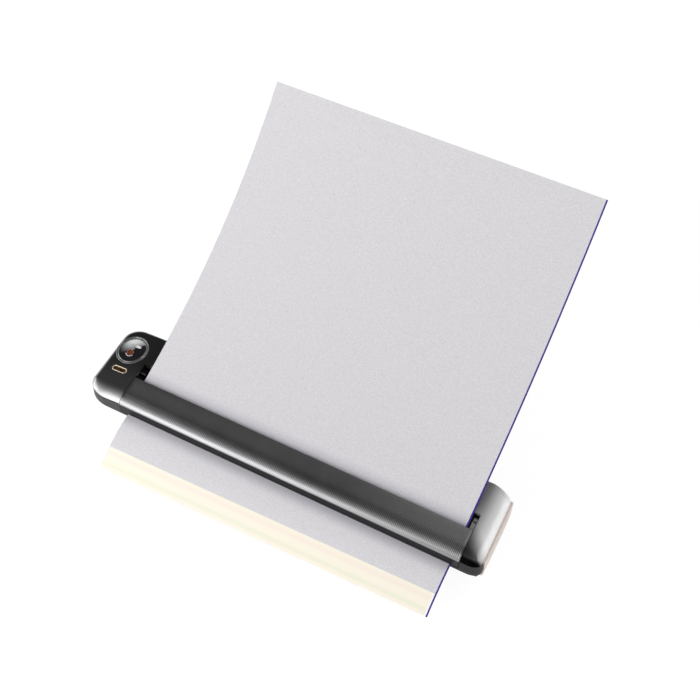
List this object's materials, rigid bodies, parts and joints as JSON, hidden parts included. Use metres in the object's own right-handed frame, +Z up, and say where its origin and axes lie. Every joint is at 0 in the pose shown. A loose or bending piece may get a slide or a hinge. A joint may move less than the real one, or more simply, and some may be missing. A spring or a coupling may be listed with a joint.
{
  "type": "a4 portable thermal printer",
  "caption": "Slim portable thermal printer for A4 sheets, with a rear-hinged ribbed cover, round display, power key and a sheet passing through.",
  "frame": {"origin": "middle of the body's footprint on the plane of the feet", "axes": "+X along the printer towards the end cap, +Y towards the side where the sheet goes in, +Z up"},
  "size_m": [0.2584, 0.2254, 0.1232],
  "materials": {
    "case_grey": "satin dark grey moulded plastic",
    "gloss_black": "polished black",
    "silver": "silver lacquer, satin",
    "inner_black": "fine spark texture",
    "rose_gold": "rose gold lacquer, satin",
    "foot_rubber": "matte",
    "screw_steel": "black zinc",
    "dark_chrome": "polished dark chrome",
    "lens_glass": "smoked clear lens, polished",
    "display_black": "display panel",
    "board_green": "solder mask",
    "gold": "polished pale gold",
    "key_bronze": "dark bronze",
    "switch_black": "moulded",
    "socket_steel": "bright",
    "cell_wrap": "shrink wrap",
    "motor_steel": "zinc plated",
    "brass_pinion": "turned",
    "shaft_steel": "ground",
    "gear_white": "natural acetal",
    "roller_rubber": "ground, matte",
    "bush_plastic": "natural acetal",
    "thermal_paper": "coated, fine grain",
    "cover_grey": "fine ribs, metallic grey",
    "ceramic_white": "glazed line",
    "sink_aluminium": "mill finish",
    "spring_steel": "bright"
  },
  "bodies": {
    "base": {"lower_case": "case_grey", "left_top_cover": "gloss_black", "right_top_cover": "silver", "paper_deck": "inner_black", "exit_guide": "inner_black", "left_end_frame": "inner_black", "right_end_frame": "inner_black", "right_end_cap": "rose_gold", "rubber_feet": "foot_rubber", "case_screws": "screw_steel", "dial_ring": "dark_chrome", "dial_lens": "lens_glass", "display_panel": "display_black", "display_board": "board_green", "key_bezel": "gold", "key_switch": "switch_black", "usb_board": "board_green", "usb_socket": "socket_steel", "main_board": "board_green", "battery_cells": "cell_wrap", "motor_body": "motor_steel", "idler_post": "shaft_steel", "left_bush": "bush_plastic", "right_bush": "bush_plastic", "paper_sensor": "switch_black", "paper_sheet": "thermal_paper"},
    "cover": {"cover_shell": "cover_grey", "head_carrier": "inner_black", "carrier_screws": "screw_steel", "left_hinge_pin": "shaft_steel", "right_hinge_pin": "shaft_steel", "head_springs": "spring_steel"},
    "head": {"print_head": "ceramic_white", "head_sink": "sink_aluminium", "head_board": "board_green"},
    "platen": {"platen_roller": "roller_rubber", "roller_shaft": "shaft_steel", "roller_gear": "gear_white"},
    "idler": {"idler_gear": "gear_white"},
    "motor_rotor": {"motor_pinion": "brass_pinion"},
    "key": {"power_key": "key_bronze"}
  },
  "joints": [
    {"name": "cover_hinge", "type": "hinge", "parent": "base", "child": "cover", "pos_m": [0.0061, -0.0008, 0.0263], "axis": [-1, 0, 0], "range_deg": [0, 95]},
    {"name": "head_float", "type": "slide", "parent": "cover", "child": "head", "axis": [0, -0.4179, 0.9085], "range_m": [0, 0.0006], "stiffness_N_per_m": 6000, "springref_m": -0.0006, "deforming": ["head_springs"]},
    {"name": "roller_spin", "type": "hinge", "parent": "base", "child": "platen", "pos_m": [0.0061, -0.01454, 0.01974], "axis": [1, 0, 0], "continuous": true},
    {"name": "idler_spin", "type": "hinge", "parent": "base", "child": "idler", "pos_m": [0.12, -0.00491, 0.01442], "axis": [1, 0, 0], "continuous": true},
    {"name": "motor_spin", "type": "hinge", "parent": "base", "child": "motor_rotor", "pos_m": [0.118, 0.0065, 0.013], "axis": [1, 0, 0], "continuous": true},
    {"name": "power_key_press", "type": "slide", "parent": "base", "child": "key", "axis": [0.0924, 0, -0.9957], "range_m": [0, 0.0005], "stiffness_N_per_m": 400, "springref_m": -0.0004}
  ],
  "couplings": [
    {"joint": "idler_spin", "follows": "roller_spin", "ratio": -1.75},
    {"joint": "motor_spin", "follows": "roller_spin", "ratio": 3.2812}
  ]
}
